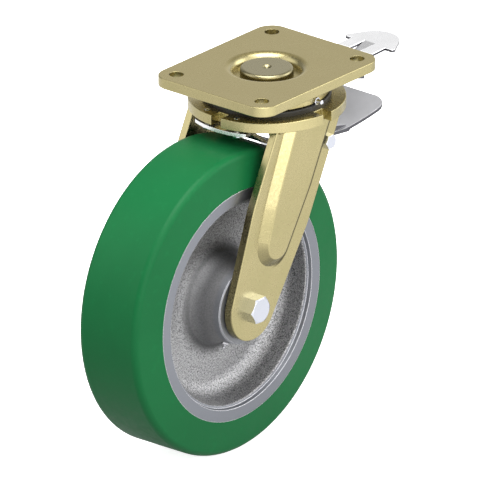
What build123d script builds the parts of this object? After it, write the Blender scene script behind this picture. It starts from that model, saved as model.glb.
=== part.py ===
from build123d import *
import math
import os

# Swivel castor with a pressed fork and a two-pedal brake, in millimetres.
# The origin is where the swivel axis meets the top face of the plate.
# +Z is up, +X is the leading side, where the pedals are, and the axle lies along Y.

# Clearances
seat_gap = 0.05
running_gap = 0.06
moving_gap = 0.3
roll_gap = 0.12

# Top plate
plate_length = 175.0
plate_width = 140.0
plate_thickness = 10.0
plate_corner_radius = 18.0
plate_edge_round = 0.8
hole_spacing_length = 140.0
hole_spacing_width = 105.0
hole_radius = 7.0
sink_mouth_radius = 40.3
sink_wall_radius = 31.5
sink_floor_thickness = 6.2
sink_skirt_radius = 38.0

# King pin, nut and washer
pin_head_radius = 25.5
pin_head_round = 3.0
pin_radius = 15.0
pin_thread_radius = 12.0
centre_drill_radius = 4.8
centre_drill_depth = 4.0
king_washer_radius = 21.5
king_washer_thickness = 2.5
king_nut_flats = 36.0
king_nut_height = 10.0
castle_slot_width = 3.4
castle_slot_depth = 4.0
split_pin_radius = 1.4
split_pin_overhang = 3.0
pin_end_length = 1.5

# Swivel bearing
race_inner_radius = 42.5
race_outer_radius = 56.2
swivel_ball_radius = 5.0
swivel_ball_count = 24
race_height = 7.0
swivel_cage_thickness = 1.6
swivel_cage_wall = 1.2
cover_wall = 3.0
cover_height = 12.2
seal_wall = 5.0
nipple_hex_flats = 6.8
nipple_length = 10.0
nipple_drop = 9.1

# Taper bearing under the crown
taper_outer_radius = 27.5
taper_width = 14.5
taper_angle = 15.0
taper_roller_radius = 2.9
taper_roller_length = 9.6
taper_roller_count = 16
taper_pitch_radius = 21.6
taper_rib_height = 1.3
taper_cage_thickness = 0.9

# Fork crown
crown_radius = 75.0
crown_top_z = -28.0
crown_thickness = 10.0
crown_bore_radius = 21.0
crown_lip = 2.5
crown_boss_radius = 32.5
crown_edge_round = 0.7
notch_width = 12.0
notch_depth = 12.0
notch_count = 4

# Wheel place and fork legs
trail = 85.0
wheel_radius = 150.0
wheel_clearance = 17.0
leg_gap = 94.0
leg_thickness = 8.0
leg_end_radius = 32.5
leg_edge_round = 1.2
leg_top_trailing_x = -50.0
leg_pivot_edge = 7.6
leg_trailing_bend_x = -84.5
leg_trailing_bend_share = 0.413
leg_leading_bend_x = -5.0
leg_leading_bend_share = 0.629
leg_bend_round = 70.0

# Raised panel of each leg
panel_height = 7.0
panel_slope_run = 8.5
panel_round = 2.5
panel_end_radius = 23.0
panel_end_x = -56.5
panel_end_share = 0.656
panel_top_trailing_x = -38.5
panel_pivot_gap = 0.1
panel_trailing_bend_x = -67.5
panel_trailing_bend_share = 0.413
panel_leading_bend_x = -3.0
panel_leading_bend_share = 0.401
panel_inner_inset = 3.0

# Axle
axle_bolt_radius = 8.0
axle_head_flats = 24.0
axle_head_height = 10.0
axle_nut_height = 14.0
axle_washer_thickness = 3.0
axle_washer_radius = 15.0
axle_thread_end = 3.0
axle_tube_radius = 12.5
inner_spacer_wall = 3.0
outer_spacer_wall = 4.5

# Wheel bearings
bearing_outer_radius = 26.0
bearing_width = 15.0
bearing_recess = 4.5
bearing_ball_radius = 3.95
bearing_pitch_radius = 19.25
bearing_ball_count = 9
bearing_inner_land = 16.2
bearing_outer_land = 22.3
bearing_shield_thickness = 0.8
circlip_thickness = 1.5
circlip_groove_depth = 1.6
circlip_section = 3.2

# Wheel
wheel_width = 80.0
tread_thickness = 35.0
rim_face_width = 11.5
rim_step_depth = 3.6
rim_step_run = 1.3
rim_lip_radius = 2.6
rim_wall_foot_inset = 19.0
web_half_thickness = 7.5
web_rim_fillet = 16.0
web_hub_fillet = 20.0
hub_radius = 38.0
hub_foot_radius = 43.0
hub_length = 90.0
hub_core_radius = 21.0
tread_half_width = 34.8
tread_corner_round = 6.5
hub_nipple_angle = 207.0
hub_nipple_y = -35.0
hub_nipple_length = 7.0
hub_nipple_flats = 6.3

# Brake pivot, pedal and cam
brake_pivot_x = 23.5
brake_pivot_stand_off = 24.447
brake_bolt_radius = 4.0
brake_head_flats = 13.0
brake_head_height = 5.3
brake_nut_height = 8.0
brake_thread_end = 2.0
brake_washer_radius = 7.2
brake_washer_thickness = 1.6
pedal_throw = 25.0
pedal_hub_radius = 6.5
pedal_hub_half_width = 42.0
cam_half_width = 14.0
cam_lobe_radius = 8.0
cam_gap = 0.35
pedal_rise = 9.4
pedal_tip_x = 131.0
pedal_tip_z = -62.7
pedal_length = 76.0
pedal_half_width = 42.0
pedal_shoulder = 13.7
pedal_shoulder_half_width = 38.5
pedal_root_half_width = 34.5
pedal_shoulder_round = 6.0
pedal_sheet = 3.2
pedal_dish = 2.5
pedal_corner_radius = 17.0
pedal_edge_round = 0.7
pedal_arm_thickness = 4.0
pedal_lug_reach = 8.5
pedal_lug_radius = 3.0
pedal_lug_width = 6.0
pedal_lug_offset = 25.0

# Brake leaf
leaf_thickness = 3.5
leaf_drop = 2.0
leaf_hinge_inset = 10.0
leaf_throw = 3.0
leaf_root_half_width = 31.0
leaf_half_width = 24.0
leaf_flat_reach = 9.0
leaf_start_angle = 21.0
leaf_end_past_pivot = 7.0
leaf_lift_past_pivot = 11.5
leaf_lift = 4.0
leaf_bend_round = 12.0
leaf_screw_radius = 3.0
leaf_screw_angle = 15.5
leaf_screw_head_radius = 5.0
leaf_screw_head_height = 3.5
leaf_screw_head_round = 2.2
leaf_screw_play = 0.6
leaf_screw_tip = 0.6

# Release pedal
release_pin_inset = 17.0
release_pin_z = -55.0
release_pin_radius = 3.0
release_hub_radius = 6.5
release_hub_half_width = 29.0
release_sheet = 3.0
release_body_half_width = 33.0
release_waist_half_width = 19.0
release_waist_start_x = 84.0
release_waist_end_x = 92.0
release_body_end_x = 104.0
release_body_end_z = -34.6
release_rise_start_x = 78.0
release_rise_end_x = 97.0
release_slope_rise = 2.0
release_bend_round = 5.0
release_edge_round = 0.6
release_finger_width = 6.0
release_finger_radius = 3.0
release_finger_gap = 0.5
release_elbow_reach = 12.0
release_arm_half_width = 5.7
release_arm_end_x = 151.0
release_slot_gap = 0.6
release_head_x = 149.0
release_head_z = -21.6
release_head_half_width = 32.0
release_head_round = 3.0
release_head_tip_x = 182.0
release_head_front_x = 172.0
release_head_front_half_width = 19.0
release_tab_x = 129.0
release_tab_half_width = 20.5
release_tab_flare = 1.0
release_bracket_wall = 5.0
release_bracket_radius = 8.0
release_bracket_head = 2.5

# Places worked out from the sizes above
sink_round = sink_mouth_radius - sink_wall_radius
crown_bottom_z = crown_top_z - crown_thickness
axle_x = -trail
axle_drop = wheel_clearance + wheel_radius
axle_z = crown_bottom_z - axle_drop
axle = (axle_x, axle_z)
leg_trailing_bend = (leg_trailing_bend_x, crown_bottom_z - leg_trailing_bend_share * axle_drop)
leg_leading_bend = (leg_leading_bend_x, crown_bottom_z - leg_leading_bend_share * axle_drop)
panel_end_centre = (panel_end_x, crown_bottom_z - panel_end_share * axle_drop)
panel_trailing_bend = (panel_trailing_bend_x, crown_bottom_z - panel_trailing_bend_share * axle_drop)
panel_leading_bend = (panel_leading_bend_x, crown_bottom_z - panel_leading_bend_share * axle_drop)
leg_inner_y = leg_gap / 2
leg_outer_y = leg_inner_y + leg_thickness
brake_pivot_rise = math.sqrt((wheel_radius + brake_pivot_stand_off) ** 2 - (brake_pivot_x - axle_x) ** 2)
brake_pivot = (brake_pivot_x, axle_z + brake_pivot_rise)
brake_pivot_angle = math.degrees(math.atan2(brake_pivot_x - axle_x, brake_pivot_rise))
leaf_end_angle = brake_pivot_angle + leaf_end_past_pivot
leaf_lift_angle = brake_pivot_angle + leaf_lift_past_pivot
rim_radius = wheel_radius - tread_thickness
rim_face_inner_radius = rim_radius - rim_face_width
rim_wall_foot_radius = rim_radius - rim_wall_foot_inset
release_pin_x = crown_radius - release_pin_inset
release_pin = (release_pin_x, release_pin_z)
leaf_hinge_x = leaf_hinge_inset - crown_radius
leaf_flat_end_x = leaf_hinge_x + leaf_flat_reach
leaf_mid_z = crown_bottom_z - leaf_drop - leaf_thickness / 2
leaf_hinge = (leaf_hinge_x, leaf_mid_z)
swivel_pitch_radius = (race_inner_radius + race_outer_radius) / 2
swivel_ball_z = (crown_top_z - plate_thickness) / 2
taper_top_z = crown_top_z - crown_lip
taper_bottom_z = taper_top_z - taper_width
taper_mid_z = taper_top_z - taper_width / 2 + taper_rib_height / 2
king_nut_top_z = taper_bottom_z - king_washer_thickness
king_nut_bottom_z = king_nut_top_z - king_nut_height
bearing_end_y = hub_length / 2 - bearing_recess
bearing_mid_y = bearing_end_y - bearing_width / 2


def turn(point, centre, degrees_down):
    """The (x, z) point turned about a centre on the Y axis; a positive turn lowers the leading side."""
    angle = math.radians(degrees_down)
    dx = point[0] - centre[0]
    dz = point[1] - centre[1]
    x = centre[0] + dx * math.cos(angle) + dz * math.sin(angle)
    z = centre[1] - dx * math.sin(angle) + dz * math.cos(angle)
    return (x, z)


def polar(centre, radius, angle):
    """The (x, z) point at a radius and an angle in degrees from straight up, towards the leading side."""
    a = math.radians(angle)
    return (centre[0] + radius * math.sin(a), centre[1] + radius * math.cos(a))


def meet(first, second, radius):
    """The upper of the two points that lie at one radius from both centres."""
    middle = ((first[0] + second[0]) / 2, (first[1] + second[1]) / 2)
    dx = second[0] - first[0]
    dz = second[1] - first[1]
    apart = math.hypot(dx, dz)
    rise = math.sqrt(radius**2 - (apart / 2) ** 2)
    side = rise / apart if dx > 0 else -rise / apart
    return (middle[0] - dz * side, middle[1] + dx * side)


def across(sketch, y_low, y_high):
    """A sketch of (x, z) points made solid from one Y to another."""
    return Pos(0, y_high, 0) * extrude(Plane.XZ * sketch, amount=y_high - y_low)


def upright(sketch, z_low, z_high):
    """A sketch of (x, y) points made solid from one Z to another."""
    return Pos(0, 0, z_low) * extrude(sketch, amount=z_high - z_low)


def disc_at(point, radius):
    """A disc in a sketch."""
    return Pos(point[0], point[1]) * Circle(radius)


def ring_z(inner, outer, z_low, z_high):
    """A plain ring about the swivel axis."""
    return upright(Circle(outer) - Circle(inner), z_low, z_high)


def rod_y(point, radius, y_low, y_high):
    """A rod along Y through an (x, z) point."""
    return across(disc_at(point, radius), y_low, y_high)


def ring_y(point, inner, outer, y_low, y_high):
    """A plain ring along Y about an (x, z) point."""
    return across(disc_at(point, outer) - disc_at(point, inner), y_low, y_high)


def spun_z(points):
    """A closed outline of (radius, z) points turned about the swivel axis."""
    return revolve(Plane.XZ * make_face(Polyline(*points, close=True)), Axis.Z)


def spun_y(sketch):
    """A sketch of (radius, y) points turned about the axle."""
    return Pos(axle_x, 0, axle_z) * revolve(sketch, Axis.Y)


def pair_y(solid):
    """A solid and its mirror image on the other side."""
    return [solid, mirror(solid, Plane.XZ)]


def spread_z(solid, count, start=0.0):
    """Copies of a solid evenly spread about the swivel axis."""
    return [Rot(0, 0, start + 360.0 * i / count) * solid for i in range(count)]


def spread_y(solid, count):
    """Copies of a solid evenly spread about the axle."""
    centre = Pos(axle_x, 0, axle_z)
    return [centre * Rot(0, 360.0 * i / count, 0) * Pos(-axle_x, 0, -axle_z) * solid for i in range(count)]


def hexagon(flats):
    """A hexagon of a size across flats."""
    return RegularPolygon(radius=flats / 2, side_count=6, major_radius=False)


def hex_block(flats, height, rounded_end):
    """A hexagon block from z = 0 up, with its corners turned off at the top and, if asked, the foot."""
    corner = flats / math.sqrt(3)
    face = flats * 0.475
    slope = (corner - face) * math.tan(math.radians(30))
    foot = [(0, 0), (face, 0), (corner, slope)] if rounded_end else [(0, 0), (corner, 0)]
    top = [(corner, height - slope), (face, height), (0, height)]
    turned = revolve(Plane.XZ * make_face(Polyline(*foot, *top, close=True)), Axis.Z)
    return extrude(hexagon(flats), amount=height) & turned


def along_minus_y(solid, point, y):
    """A solid built up from z = 0, laid so that it points to -Y from an (x, z) point."""
    return Pos(point[0], y, point[1]) * Rot(90, 0, 0) * solid


def along_plus_y(solid, point, y):
    """A solid built up from z = 0, laid so that it points to +Y from an (x, z) point."""
    return Pos(point[0], y, point[1]) * Rot(-90, 0, 0) * solid


def sheet(path, thickness):
    """The closed outline of a bent sheet about its middle line."""
    return make_face(offset(path, amount=thickness / 2, side=Side.BOTH))


def grease_nipple(length, flats):
    """A grease nipple standing on z = 0: hexagon, cone and ball tip."""
    hex_height = length * 0.4
    tip = length * 0.22
    neck = tip * 0.62
    points = [
        (0, hex_height),
        (flats * 0.4, hex_height),
        (neck, length * 0.72),
        (tip, length * 0.8),
        (tip, length * 0.92),
        (tip * 0.6, length),
        (0, length),
    ]
    body = revolve(Plane.XZ * make_face(Polyline(*points, close=True)), Axis.Z)
    return hex_block(flats, hex_height, False) + body


def pressed_sink():
    """The rolled-down mouth and floor of the hole that the king pin sits in, taken out of the plate."""
    mouth = JernArc((sink_mouth_radius, 0), (-1, 0), sink_round, 90)
    walls = Polyline((sink_wall_radius, -sink_round), (0, -sink_round), (0, 0), (sink_mouth_radius, 0))
    return revolve(Plane.XZ * make_face(mouth + walls), Axis.Z)


def top_plate():
    blank = RectangleRounded(plate_length, plate_width, plate_corner_radius)
    plate = upright(blank, -plate_thickness, 0)
    plate = fillet(plate.edges().group_by(Axis.Z)[0] + plate.edges().group_by(Axis.Z)[-1], plate_edge_round)
    floor_z = -sink_round - sink_floor_thickness
    plate += ring_z(pin_radius + seat_gap, sink_skirt_radius, floor_z, -plate_thickness)
    plate -= pressed_sink()
    plate -= upright(Circle(pin_radius + seat_gap), floor_z, 0)
    for place in GridLocations(hole_spacing_length, hole_spacing_width, 2, 2):
        plate -= place * upright(Circle(hole_radius), -plate_thickness, 0)
    return plate


def king_pin():
    end_z = king_nut_bottom_z - pin_end_length
    head_foot_z = -sink_round
    shank = [
        (0, head_foot_z),
        (pin_radius, head_foot_z),
        (pin_radius, taper_bottom_z + seat_gap),
        (pin_thread_radius, taper_bottom_z + seat_gap),
        (pin_thread_radius, end_z + pin_end_length),
        (pin_thread_radius - pin_end_length, end_z),
        (0, end_z),
    ]
    head = upright(Circle(pin_head_radius), head_foot_z, 0)
    head = fillet(head.edges().group_by(Axis.Z)[-1], pin_head_round)
    cone = Pos(0, 0, -centre_drill_depth / 2) * Cone(0.2, centre_drill_radius, centre_drill_depth)
    hole_z = king_nut_bottom_z + castle_slot_depth / 2
    cross_hole = Pos(0, 0, hole_z) * Rot(0, 90, 0) * Cylinder(split_pin_radius + seat_gap, 4 * pin_radius)
    return head + spun_z(shank) - cone - cross_hole


def king_pin_nut():
    nut = Pos(0, 0, king_nut_bottom_z) * hex_block(king_nut_flats, king_nut_height, False)
    slot = Box(2 * king_nut_flats, castle_slot_width, 2 * castle_slot_depth)
    for angle in range(0, 180, 60):
        nut -= Pos(0, 0, king_nut_bottom_z) * Rot(0, 0, angle) * slot
    return nut - upright(Circle(pin_thread_radius + seat_gap), king_nut_bottom_z, king_nut_top_z)


def king_pin_washer():
    return ring_z(pin_thread_radius + seat_gap, king_washer_radius, king_nut_top_z, taper_bottom_z)


def split_pin():
    reach = king_nut_flats / 2 + split_pin_overhang
    z = king_nut_bottom_z + castle_slot_depth / 2
    wire = Pos(0, 0, z) * Rot(0, 90, 0) * Cylinder(split_pin_radius, 2 * reach)
    eye_radius = 2.5 * split_pin_radius
    eye = Pos(reach + eye_radius, 0, z) * Torus(eye_radius, split_pin_radius)
    return wire + eye


def bearing_cover():
    inner = race_outer_radius + seat_gap
    ring = ring_z(inner, inner + cover_wall, -plate_thickness - cover_height, -plate_thickness)
    return chamfer(ring.edges().group_by(Axis.Z)[0], cover_wall / 5)


def swivel_grease_nipple():
    radius = race_outer_radius + seat_gap + cover_wall
    nipple = along_minus_y(grease_nipple(nipple_length, nipple_hex_flats), (0, 0), 0)
    nipple = Pos(0, -radius + 0.6, -plate_thickness - nipple_drop) * nipple
    return nipple - upright(Circle(radius + seat_gap), crown_top_z, 0)


def ball_groove():
    return Pos(0, 0, swivel_ball_z) * Torus(swivel_pitch_radius, swivel_ball_radius + roll_gap)


def thrust_race_upper():
    low = -plate_thickness - race_height
    return ring_z(race_inner_radius, race_outer_radius, low, -plate_thickness) - ball_groove()


def thrust_race_lower():
    return ring_z(race_inner_radius, race_outer_radius, crown_top_z, crown_top_z + race_height) - ball_groove()


def thrust_balls():
    ball = Pos(swivel_pitch_radius, 0, swivel_ball_z) * Sphere(swivel_ball_radius)
    return Compound(children=spread_z(ball, swivel_ball_count))


def thrust_cage():
    half_width = swivel_ball_radius + swivel_cage_wall
    low = swivel_ball_z - swivel_cage_thickness / 2
    high = swivel_ball_z + swivel_cage_thickness / 2
    ring = ring_z(swivel_pitch_radius - half_width, swivel_pitch_radius + half_width, low, high)
    window = Pos(swivel_pitch_radius, 0, swivel_ball_z) * Cylinder(swivel_ball_radius + roll_gap, cover_height)
    for cut in spread_z(window, swivel_ball_count):
        ring -= cut
    return ring


def dust_seal():
    inner = race_outer_radius + seat_gap
    high = -plate_thickness - cover_height - moving_gap
    ring = ring_z(inner, inner + seal_wall, crown_top_z, high)
    return fillet(ring.edges().group_by(Axis.Z)[-1].sort_by(SortBy.LENGTH)[-1], seal_wall / 3)


def taper_slope(z):
    """How far the roller line has moved out at a height, against its middle."""
    return (taper_mid_z - z) * math.tan(math.radians(taper_angle))


def taper_cup():
    offset_out = taper_pitch_radius + (taper_roller_radius + roll_gap) / math.cos(math.radians(taper_angle))
    points = [
        (taper_outer_radius, taper_top_z),
        (offset_out + taper_slope(taper_top_z), taper_top_z),
        (offset_out + taper_slope(taper_bottom_z), taper_bottom_z),
        (taper_outer_radius, taper_bottom_z),
    ]
    return spun_z(points)


def taper_cone():
    offset_in = taper_pitch_radius - (taper_roller_radius + roll_gap) / math.cos(math.radians(taper_angle))
    rib_z = taper_bottom_z + taper_rib_height
    top_z = taper_top_z - roll_gap
    points = [
        (pin_radius + seat_gap, top_z),
        (offset_in + taper_slope(top_z), top_z),
        (offset_in + taper_slope(rib_z), rib_z),
        (taper_pitch_radius, rib_z),
        (taper_pitch_radius, taper_bottom_z),
        (pin_radius + seat_gap, taper_bottom_z),
    ]
    return spun_z(points)


def taper_roller(extra):
    """One roller in its place, with an allowance on its radius."""
    roller = Cylinder(taper_roller_radius + extra, taper_roller_length)
    return Pos(taper_pitch_radius, 0, taper_mid_z) * Rot(0, -taper_angle, 0) * roller


def taper_rollers():
    return Compound(children=spread_z(taper_roller(0), taper_roller_count))


def taper_cage():
    half = taper_cage_thickness / 2 / math.cos(math.radians(taper_angle))
    high = taper_mid_z + taper_roller_length * 0.56
    low = taper_mid_z - taper_roller_length * 0.48
    points = [
        (taper_pitch_radius - half + taper_slope(high), high),
        (taper_pitch_radius + half + taper_slope(high), high),
        (taper_pitch_radius + half + taper_slope(low), low),
        (taper_pitch_radius - half + taper_slope(low), low),
    ]
    cage = spun_z(points)
    for cut in spread_z(taper_roller(roll_gap), taper_roller_count):
        cage -= cut
    return cage


def leaf_screw_places():
    reach = -leaf_hinge_x / math.cos(math.radians(leaf_screw_angle))
    y = reach * math.sin(math.radians(leaf_screw_angle))
    return [(leaf_hinge_x, -y), (leaf_hinge_x, y)]


def fork_crown():
    disc = upright(Circle(crown_radius), crown_bottom_z, crown_top_z)
    notch = Pos(crown_radius, 0) * Rectangle(2 * notch_depth, notch_width)
    for cut in spread_z(upright(notch, crown_bottom_z, crown_top_z), notch_count):
        disc -= cut
    disc = fillet(disc.edges().group_by(Axis.Z)[-1], crown_edge_round)
    disc += upright(Circle(crown_boss_radius), taper_bottom_z, crown_bottom_z)
    disc -= upright(Circle(crown_bore_radius), taper_bottom_z, crown_top_z)
    disc -= upright(Circle(taper_outer_radius + seat_gap), taper_bottom_z, taper_top_z)
    for x, y in leaf_screw_places():
        disc -= Pos(x, y) * upright(Circle(leaf_screw_radius + seat_gap), crown_bottom_z, crown_top_z)
    return disc


def unit(first, second):
    """The unit direction from one (x, z) point to another."""
    length = math.hypot(second[0] - first[0], second[1] - first[1])
    return ((second[0] - first[0]) / length, (second[1] - first[1]) / length)


def crossing(first, along_first, second, along_second):
    """Where two (x, z) lines cross, each given by a point and a direction."""
    dx = second[0] - first[0]
    dz = second[1] - first[1]
    turned = along_first[0] * along_second[1] - along_first[1] * along_second[0]
    t = (dx * along_second[1] - dz * along_second[0]) / turned
    return (first[0] + t * along_first[0], first[1] + t * along_first[1])


def top_beside_pivot(bend, distance):
    """Where a line up from a bend meets the crown's underside when it passes the brake pivot at a distance."""
    towards = math.atan2(brake_pivot[1] - bend[1], brake_pivot[0] - bend[0])
    lean = towards - math.asin(distance / math.dist(bend, brake_pivot))
    return bend[0] + (crown_bottom_z - bend[1]) / math.tan(lean)


def leg_side(top_x, bend, centre, radius, side, inset):
    """One side of a leaning outline: its top point, its bend and where it runs into the round end."""
    top = (top_x, crown_bottom_z)
    lean = math.atan2(centre[1] - bend[1], centre[0] - bend[0])
    lean -= side * math.asin(radius / math.dist(bend, centre))
    upper = unit(top, bend)
    lower = (math.cos(lean), math.sin(lean))
    out = (side * lower[1], -side * lower[0])
    upper_out = (side * upper[1], -side * upper[0])
    upper_start = (top[0] - inset * upper_out[0], top[1] - inset * upper_out[1])
    lower_start = (bend[0] - inset * out[0], bend[1] - inset * out[1])
    new_top = crossing(upper_start, upper, top, (1.0, 0.0))
    new_bend = crossing(upper_start, upper, lower_start, lower)
    end = (centre[0] + (radius - inset) * out[0], centre[1] + (radius - inset) * out[1])
    return new_top, new_bend, end, out


def leaning_outline(top_xs, bends, centre, radius, inset):
    """A leg-like outline of (x, z) points: straight top, two bends, and a round end that the sides run into."""
    left_top, left_bend, left_end, left_out = leg_side(top_xs[0], bends[0], centre, radius, 1, inset)
    right_top, right_bend, right_end, right_out = leg_side(top_xs[1], bends[1], centre, radius, -1, inset)
    down = unit((0.0, 0.0), (left_out[0] + right_out[0], left_out[1] + right_out[1]))
    low = (centre[0] + (radius - inset) * down[0], centre[1] + (radius - inset) * down[1])
    edges = [
        Line(left_top, left_bend),
        Line(left_bend, left_end),
        ThreePointArc(left_end, low, right_end),
        Line(right_end, right_bend),
        Line(right_bend, right_top),
        Line(right_top, left_top),
    ]
    face = make_face(edges)
    corners = [v for v in face.vertices() if min(math.dist((v.X, v.Y), b) for b in (left_bend, right_bend)) < 0.01]
    return fillet(corners, leg_bend_round - inset)


def leg_outline():
    tops = (leg_top_trailing_x, top_beside_pivot(leg_leading_bend, leg_pivot_edge))
    bends = (leg_trailing_bend, leg_leading_bend)
    return leaning_outline(tops, bends, axle, leg_end_radius, 0.0)


def panel_outline(inset):
    distance = -brake_washer_radius - panel_pivot_gap
    tops = (panel_top_trailing_x, top_beside_pivot(panel_leading_bend, distance))
    bends = (panel_trailing_bend, panel_leading_bend)
    return leaning_outline(tops, bends, panel_end_centre, panel_end_radius, inset)


def raised(inset):
    """The panel as a block with sloping sides, rising towards -Y from y = 0."""
    foot = Plane.XZ * panel_outline(inset)
    crest = Pos(0, -panel_height, 0) * (Plane.XZ * panel_outline(inset + panel_slope_run))
    return loft([foot, crest], ruled=True)


def fork_leg_right():
    leg = across(leg_outline(), -leg_outer_y, -leg_inner_y)
    rim = [e for e in leg.edges().group_by(Axis.Y)[0] if e.center().Z < crown_bottom_z - 1]
    leg = fillet(rim, leg_edge_round)
    panel = Pos(0, -leg_outer_y, 0) * raised(0.0)
    crest = [e for e in panel.edges().group_by(Axis.Y)[0] if e.center().Z < crown_bottom_z - 1]
    panel = fillet(crest, panel_round)
    leg += panel
    leg -= Pos(0, -leg_inner_y, 0) * raised(panel_inner_inset)
    leg -= rod_y(axle, axle_bolt_radius + seat_gap, -leg_outer_y - panel_height, 0)
    leg -= rod_y(brake_pivot, brake_bolt_radius + seat_gap, -leg_outer_y - panel_height, 0)
    return leg


def axle_bolt():
    head = along_minus_y(hex_block(axle_head_flats, axle_head_height, False), axle, -leg_outer_y)
    end_y = leg_outer_y + axle_washer_thickness + axle_nut_height + axle_thread_end
    shank = rod_y(axle, axle_bolt_radius, -leg_outer_y, end_y)
    return head + chamfer(shank.edges().group_by(Axis.Y)[-1], axle_thread_end / 3)


def axle_washer():
    return ring_y(axle, axle_bolt_radius + seat_gap, axle_washer_radius, leg_outer_y, leg_outer_y + axle_washer_thickness)


def axle_nut():
    start = leg_outer_y + axle_washer_thickness
    nut = along_plus_y(hex_block(axle_head_flats, axle_nut_height, True), axle, start)
    return nut - rod_y(axle, axle_bolt_radius + seat_gap, 0, 2 * leg_gap)


def axle_tube():
    return ring_y(axle, axle_bolt_radius + seat_gap, axle_tube_radius, -leg_inner_y, leg_inner_y)


def inner_spacer():
    inner = axle_tube_radius + seat_gap
    reach = bearing_end_y - bearing_width
    return ring_y(axle, inner, inner + inner_spacer_wall, -reach, reach)


def outer_spacers():
    inner = axle_tube_radius + seat_gap
    return Compound(children=pair_y(ring_y(axle, inner, inner + outer_spacer_wall, bearing_end_y, leg_inner_y)))


def bearing_ring_outline(inner, outer):
    """Half the section of a ball bearing ring in (radius, y), with the groove for its balls."""
    bar = Pos((inner + outer) / 2, bearing_mid_y) * Rectangle(outer - inner, bearing_width)
    return bar - Pos(bearing_pitch_radius, bearing_mid_y) * Circle(bearing_ball_radius + roll_gap)


def bearing_inner():
    return spun_y(bearing_ring_outline(axle_tube_radius + seat_gap, bearing_inner_land))


def bearing_outer():
    return spun_y(bearing_ring_outline(bearing_outer_land, bearing_outer_radius))


def bearing_balls():
    ball = Pos(axle_x + bearing_pitch_radius, bearing_mid_y, axle_z) * Sphere(bearing_ball_radius)
    return spread_y(ball, bearing_ball_count)


def bearing_shield():
    half_gap = (bearing_outer_land - bearing_inner_land) / 2
    inner = bearing_pitch_radius - half_gap + 4 * moving_gap
    outer = bearing_outer_land - seat_gap
    return ring_y(axle, inner, outer, bearing_end_y - 2 * bearing_shield_thickness, bearing_end_y - bearing_shield_thickness)


def circlip():
    outer = bearing_outer_radius + circlip_groove_depth - seat_gap
    low = bearing_end_y + seat_gap
    ring = ring_y(axle, outer - circlip_section, outer, low, low + circlip_thickness)
    gap = Pos(axle_x, low, axle_z - outer) * Box(2 * circlip_section, 4 * circlip_thickness, 4 * circlip_section)
    return ring - gap


def web_corner(face, radius, y):
    """The corner of the wheel's section that lies at a radius and y."""
    return [v for v in face.vertices() if math.dist((v.X, v.Y), (radius, y)) < 0.01]


def wheel_rim():
    half_width = wheel_width / 2
    half_hub = hub_length / 2
    step_radius = rim_face_inner_radius - rim_step_run
    step_y = half_width - rim_step_depth
    lip_radius = step_radius - rim_lip_radius
    half = [
        (hub_radius, half_hub),
        (hub_foot_radius, web_half_thickness),
        (rim_wall_foot_radius, web_half_thickness),
        (lip_radius, step_y),
        (step_radius, step_y),
        (rim_face_inner_radius, half_width),
        (rim_radius, half_width),
    ]
    mirrored = [(r, -y) for r, y in reversed(half)]
    core = [(hub_core_radius, -half_hub), (hub_core_radius, half_hub)]
    section = make_face(Polyline(*half, *mirrored, *core, close=True))
    for side in (1, -1):
        section = fillet(web_corner(section, hub_foot_radius, side * web_half_thickness), web_hub_fillet)
        section = fillet(web_corner(section, rim_wall_foot_radius, side * web_half_thickness), web_rim_fillet)
        section = fillet(web_corner(section, lip_radius, side * step_y), rim_lip_radius)
        section = chamfer(web_corner(section, hub_radius, side * half_hub), seat_gap * 20)
    casting = spun_y(section)
    seat_low = bearing_end_y - bearing_width
    for bore in pair_y(rod_y(axle, bearing_outer_radius + seat_gap, seat_low, half_hub)):
        casting -= bore
    groove_radius = bearing_outer_radius + circlip_groove_depth
    groove_low = bearing_end_y
    for groove in pair_y(rod_y(axle, groove_radius, groove_low, groove_low + circlip_thickness + 2 * seat_gap)):
        casting -= groove
    return casting


def tread():
    half_width = wheel_width / 2
    half = [(wheel_radius, tread_half_width), (rim_radius, half_width)]
    mirrored = [(r, -y) for r, y in reversed(half)]
    section = make_face(Polyline(*half, *mirrored, close=True))
    for side in (1, -1):
        section = fillet(web_corner(section, wheel_radius, side * tread_half_width), tread_corner_round)
    return spun_y(section)


def hub_grease_nipple():
    y = hub_nipple_y
    reach = hub_radius + (hub_foot_radius - hub_radius) * (hub_length / 2 + y) / (hub_length / 2)
    nipple = Pos(0, 0, reach - 1) * grease_nipple(hub_nipple_length, hub_nipple_flats)
    nipple = Pos(axle_x, y, axle_z) * Rot(0, hub_nipple_angle, 0) * nipple
    return nipple - wheel_rim()


def open_axle():
    """Where the axle's centre lies when it is carried back with the leaf from braked to rest."""
    return turn(axle, leaf_hinge, -leaf_throw)


def leaf_point(radius, angle):
    """A point of the leaf at rest, given about the axle in its braked place."""
    return turn(polar(axle, radius, angle), leaf_hinge, -leaf_throw)


def leaf_path():
    """The leaf's middle line at rest: flat root, slope, the stretch that fits the tread, and a lifted tip."""
    middle = wheel_radius + moving_gap + leaf_thickness / 2
    start = leaf_point(middle, leaf_start_angle)
    end = leaf_point(middle, leaf_end_angle)
    half_way = leaf_point(middle, (leaf_start_angle + leaf_end_angle) / 2)
    tip = leaf_point(middle + leaf_lift, leaf_lift_angle)
    root = FilletPolyline(
        (-crown_radius - leaf_thickness, leaf_mid_z), (leaf_flat_end_x, leaf_mid_z), start, radius=leaf_bend_round
    )
    return root + ThreePointArc(start, half_way, end) + Line(end, tip)


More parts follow.
